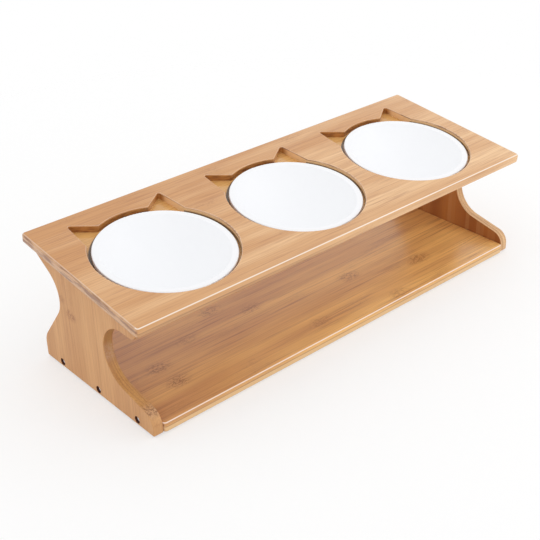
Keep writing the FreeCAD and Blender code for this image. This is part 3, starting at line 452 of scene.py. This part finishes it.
def saw_outline(board, foot, high, share, front, speckled_highlight=None):
    """Tones on the sawn outline, at its foot and higher up, partly its own and partly painted light and
    shade.
    front is where across the board they start; the last argument is a speckled pale patch, a painted
    highlight: its height, how far it reaches and its tone."""
    foot_level, high_level = 0.025, 0.075
    front_edge = 0.012
    layer_scale, layer_span, layer_share = (24, 24, 650), (0.42, 0.62), 0.5
    rub_scale, rub_span, rub_share = (800, 800, 600), (0.4, 0.66), 0.3
    tree = board.tree
    faces = facing(tree, board.place, Vector((1, 0, 0)))
    outline = fade(tree, faces, *facing_span, start=share, end=0.0)
    outline = times(tree, outline, fade(tree, board.across, front, front + front_edge))
    # Lighter at the foot, darker higher up: partly the sawn wood's own tones, partly painted light and
    # shade.
    sawn = mix(tree, fade(tree, board.along, foot_level, high_level), foot, high)
    layers = fade(tree, figure(board, layer_scale), *layer_span, end=layer_share)
    sawn = mix(tree, layers, sawn, board.streak)
    rub = figure(board, rub_scale, detail=3.0, roughness=0.65)
    sawn = mix(tree, fade(tree, rub, *rub_span, end=rub_share), sawn, board.streak)
    # Painted highlight: a speckled pale patch where the rough sawn surface catches the light.
    if speckled_highlight:
        highlight_level, highlight_reach, highlight_patch_tone = speckled_highlight
        highlight_heart = 0.3 * highlight_reach
        speckle_span, speckle_least, speckle_most = (0.4, 0.62), 0.1, 0.8
        off = off_from(tree, board.along, highlight_level)
        near = fade(tree, off, highlight_heart, highlight_reach, start=1.0, end=0.0)
        speckle = fade(tree, rub, *speckle_span, start=speckle_least, end=speckle_most)
        sawn = mix(tree, times(tree, near, speckle), sawn, highlight_patch_tone)
    stain(board, outline, sawn)


def shade_screw_holes(board, pitch, middle, height, radius):
    """A row of screw holes, painted dark inside as their shade."""
    hole_shade_brown = paint(84, 44, 28)
    tree = board.tree
    aside = sums(tree, "WRAP", minus(tree, board.across, middle), pitch / 2, -pitch / 2)
    above = minus(tree, board.along, height)
    hole = sums(tree, "LESS_THAN", reach(tree, aside, above), radius)
    # Painted shade: the inside of each screw hole is dark brown.
    stain(board, hole, hole_shade_brown)


screws_low, screws_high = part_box("left_shelf_screws")
screws_middle = (screws_low + screws_high) / 2
head_radius = (screws_high.z - screws_low.z) / 2
screw_pitch = (screws_high.y - screws_low.y) / 2 - head_radius
hole_radius = head_radius + 0.0004
panel_turn = (0, math.radians(90), 0)
panel_tones = (paint(221, 171, 117), paint(200, 147, 96), bamboo_streak)
panel_end_scale = (420, 420, 600)
left_spots = ((0.0693, 0.0294, 1.0), (0.0809, 0.0447, 0.6))
left_speckled_highlight = (0.0545, 0.0115, paint(192, 154, 126))

left_panel = BambooBoard("bamboo_left_end", panel_turn, seed=1.13, tones=panel_tones)
right_panel = BambooBoard("bamboo_right_end", panel_turn, seed=2.71, tones=panel_tones)
lay_tone(left_panel)
lay_tone(right_panel)
# Painted shade: the right panel's inner face, under the top board, is a darker amber-brown.
paint_inner_face_shade(right_panel, way=Vector((-1, 0, 0)), pale=paint(186, 118, 56), deep=paint(146, 82, 34))
lay_strips(left_panel, width=0.0048)
lay_strips(right_panel, width=0.0052)
for panel in (left_panel, right_panel):
    draw_fibres(panel, scale=(16, 620, 620), share=0.45)
press_knuckles(left_panel, share=0.75, spots=left_spots, flatness=1.6)
press_knuckles(right_panel, share=0.45)
for panel in (left_panel, right_panel):
    open_end_grain(panel, panel_end_scale)
# Left panel's outline: painted light at the foot, painted shade higher up under the top board, and a
# speckled painted highlight.
saw_outline(left_panel, foot=paint(214, 162, 96), high=paint(166, 124, 76), share=0.85, front=-0.078,
            speckled_highlight=left_speckled_highlight)
# Right panel's outline is pale: painted light from the key at the right.
saw_outline(right_panel, foot=paint(236, 198, 148), high=paint(218, 174, 122), share=0.9, front=-0.14)
for panel, node in ((left_panel, "left_end_panel"), (right_panel, "right_end_panel")):
    shade_screw_holes(panel, screw_pitch, screws_middle.y, screws_middle.z, hole_radius)
    dress(lacquer(panel, weight=0.2, roughness=0.3), node)


# Shelf board: the same bamboo, strips along the length, screwed between the end panels at
# floor level. Its knuckles show more, as it was made from coarser strips.
shelf_tones = (paint(250, 196, 117), paint(206, 146, 86), paint(150, 86, 56))
shelf_spots = ((-0.1856, -0.019, 1.0), (-0.1826, -0.0474, 1.0), (-0.1369, -0.0006, 0.5),
               (-0.0887, 0.0246, 0.8), (-0.0555, 0.0009, 0.7), (-0.0222, -0.0642, 0.6),
               (0.0588, -0.022, 0.8), (0.0729, -0.081, 0.6), (0.139, -0.0464, 0.8))
# Past the shelf's end, so its plies show all along.
shelf_plies_to, shelf_plies_end = 0.6, 0.7

shelf = BambooBoard("bamboo_shelf", turn=(0, 0, 0), seed=4.19, tones=shelf_tones)
# Painted shade: the shelf deepens towards its left end and its back, under the top board; its front and
# right end stay painted lit.
lay_tone(shelf, along=-2.2, back=3.0)
lay_strips(shelf, width=0.0105)
draw_fibres(shelf, scale=(9, 330, 330), share=0.65)
press_knuckles(shelf, share=0.85, spots=shelf_spots, flatness=0.6)
show_plies(shelf, level=0.0066, under=paint(232, 192, 138), full_to=shelf_plies_to,
           gone_from=shelf_plies_end)
open_end_grain(shelf, board_end_scale)
# Painted highlight: a pale line on the shelf's upper arrises, strong at the front.
paint_arris_highlights(shelf, arris_highlight=paint(255, 232, 216), steep=0.3, front=-0.08)
dress(lacquer(shelf, weight=0.9, roughness=0.26), "shelf_board")


# Shelf screws: bright zinc-plated steel with a cross recess, sunk below the end panels' faces
# in round holes. Only their heads show.
def steel(name):
    """Bright plated steel with fine turning marks."""
    bright, dull = paint(246, 248, 252), paint(228, 231, 236)
    swirl_scale = (2600, 700, 700)
    material, tree, shader, place = new_finish(name)
    swirl = noise(tree, stretch(tree, place.outputs["Object"], swirl_scale), detail=2.0)
    feed(tree, shader.inputs["Base Color"], mix(tree, swirl, bright, dull))
    feed(tree, shader.inputs["Roughness"], vary(tree, swirl, 0.42, 0.56))
    shader.inputs["Metallic"].default_value = 0.25
    bump(tree, shader, swirl, strength=0.1, distance=0.0001)
    return material


dress(steel("zinc_steel"), "left_shelf_screws", "right_shelf_screws")


# Dowels: plain beech pins with chamfered ends, glued into blind holes in the end panels and
# the top board. They hold the board down and stay out of sight.
def beech(name):
    """Bare beech with short flecks."""
    light, dark = paint(222, 187, 148), paint(188, 144, 106)
    fleck_scale, fleck_span = (900, 900, 90), (0.35, 0.7)
    material, tree, shader, place = new_finish(name)
    fleck = noise(tree, stretch(tree, place.outputs["Object"], fleck_scale), detail=3.0)
    feed(tree, shader.inputs["Base Color"], mix(tree, fade(tree, fleck, *fleck_span), light, dark))
    feed(tree, shader.inputs["Roughness"], vary(tree, fleck, 0.6, 0.75))
    bump(tree, shader, fleck, strength=0.2, distance=0.0002)
    return material


dress(beech("bare_beech"), "left_top_dowels", "right_top_dowels")


# Foot pads: thin black rubber discs stuck under the shelf's corners. They lift the stand a
# little over a millimetre off the floor.
def rubber(name):
    """Matt black rubber with a fine pebble."""
    black, grey = paint(30, 29, 29), paint(52, 50, 49)
    material, tree, shader, place = new_finish(name)
    pebble = noise(tree, place.outputs["Object"], scale=2400.0, detail=2.0)
    feed(tree, shader.inputs["Base Color"], mix(tree, pebble, black, grey))
    feed(tree, shader.inputs["Roughness"], vary(tree, pebble, 0.7, 0.9))
    bump(tree, shader, pebble, strength=0.3, distance=0.0001)
    return material


pad_corners = ("front_left", "back_left", "front_right", "back_right")
dress(rubber("pad_rubber"), *(f"{corner}_foot_pad" for corner in pad_corners))


# Bowls: shallow white stoneware with a rolled rim and a foot ring, dipped in white glaze.
# Each lies loose in its recess and lifts out.
def glaze(name):
    """White glazed stoneware: an even white with a soft sheen and the faint waves of a dipped glaze."""
    cool_white, clear_white = paint(247, 248, 251), paint(249, 250, 252)
    material, tree, shader, place = new_finish(name)
    pool = noise(tree, place.outputs["Object"], scale=42.0, detail=2.0)
    feed(tree, shader.inputs["Base Color"], mix(tree, pool, cool_white, clear_white))
    feed(tree, shader.inputs["Roughness"], vary(tree, pool, 0.4, 0.5))
    shader.inputs["IOR"].default_value = 1.5
    wave = noise(tree, place.outputs["Object"], scale=160.0, detail=1.0)
    bump(tree, shader, wave, strength=0.04, distance=0.0004)
    return material


dress(glaze("white_glaze"), "left_bowl", "middle_bowl", "right_bowl")


# Studio: a pale floor that takes the stand's soft shadow and fades into a white surround, with
# a strip light at the front right as a weak key.
def seen_rays(tree):
    """1 for rays that show a surface to the camera, also in gloss or through glass, or else 0."""
    paths = tree.nodes.new("ShaderNodeLightPath")
    seen = sums(tree, "MAXIMUM", paths.outputs["Is Camera Ray"], paths.outputs["Is Glossy Ray"])
    return sums(tree, "MAXIMUM", seen, paths.outputs["Is Transmission Ray"])


white, black = (1, 1, 1, 1), (0, 0, 0, 1)
floor_half = 1.2
floor_fade_start, floor_fade_end = 0.4, 1.0
floor_shine = 0.5
floor_mesh = bpy.data.meshes.new("floor")
floor_corners = [(-floor_half, -floor_half, 0), (floor_half, -floor_half, 0),
                 (floor_half, floor_half, 0), (-floor_half, floor_half, 0)]
floor_mesh.from_pydata(floor_corners, [], [(0, 1, 2, 3)])
floor = bpy.data.objects.new("floor", floor_mesh)
bpy.context.collection.objects.link(floor)
floor_finish, floor_tree, floor_shader, floor_place = new_finish("floor_paper")
floor_tooth = noise(floor_tree, floor_place.outputs["Object"], scale=900.0)
floor_glow = times(floor_tree, seen_rays(floor_tree), floor_shine)
floor_colour = mix(floor_tree, floor_tooth, paint(252, 252, 252), paint(254, 254, 254))
feed(floor_tree, floor_shader.inputs["Base Color"], mix(floor_tree, floor_glow, floor_colour, black))
floor_shader.inputs["Emission Color"].default_value = white
feed(floor_tree, floor_shader.inputs["Emission Strength"], floor_glow)
floor_shader.inputs["Roughness"].default_value = 0.9
floor_shader.inputs["Specular IOR Level"].default_value = 0.1
floor_reach = floor_tree.nodes.new("ShaderNodeVectorMath")
floor_reach.operation = "LENGTH"
feed(floor_tree, floor_reach.inputs[0], floor_place.outputs["Object"])
floor_cover = fade(floor_tree, floor_reach.outputs["Value"], floor_fade_start, floor_fade_end, 1.0, 0.0)
feed(floor_tree, floor_shader.inputs["Alpha"], floor_cover)
floor_mesh.materials.append(floor_finish)

surround_level = 0.98
world = bpy.data.worlds.new("studio")
bpy.context.scene.world = world
world.use_nodes = True
sky = world.node_tree
surround = sky.nodes["Background"]
surround.inputs["Color"].default_value = white
feed(sky, surround.inputs["Strength"], fade(sky, seen_rays(sky), 0.0, 1.0, start=surround_level))

key_foot, key_head = Vector((0.765, -1.108, 0.18)), Vector((0.765, -0.039, 1.19))
key_width = 0.11
key_brightness = 2.2
key_target = Vector((0, 0, 0.08))
key_length = (key_head - key_foot).length
key_light = bpy.data.lights.new("key", "AREA")
key_light.shape = "RECTANGLE"
key_light.size = key_length
key_light.size_y = key_width
key_light.energy = key_brightness * math.pi * key_length * key_width
key_middle = (key_foot + key_head) / 2
key_line = (key_head - key_foot).normalized()
key_back = key_middle - key_target
key_back = (key_back - key_line * key_back.dot(key_line)).normalized()
key_turn = Matrix((key_line, key_back.cross(key_line), key_back)).transposed().to_4x4()
key = bpy.data.objects.new("key", key_light)
key.matrix_world = Matrix.Translation(key_middle) @ key_turn
bpy.context.collection.objects.link(key)


# Camera: where the photograph was taken from, fitted to the stand's edges and bowl rims.
# Its lens is in millimetres, for the sensor width that goes with it.
eye = Vector((-0.6246, -0.68546, 0.5695))
forward = Vector((0.56723, 0.6541, -0.5004)).normalized()
rightward = Vector((0.74779, -0.66364, -0.01982)).normalized()
upward = rightward.cross(forward)
camera_data = bpy.data.cameras.new("photo_camera")
camera_data.sensor_width = 36
camera_data.lens = 70.54
camera_data.clip_end = 50
camera = bpy.data.objects.new("photo_camera", camera_data)
camera_turn = Matrix((rightward, upward, -forward)).transposed().to_4x4()
camera.matrix_world = Matrix.Translation(eye) @ camera_turn
bpy.context.collection.objects.link(camera)
bpy.context.scene.camera = camera
bpy.context.scene.view_settings.view_transform = "Standard"
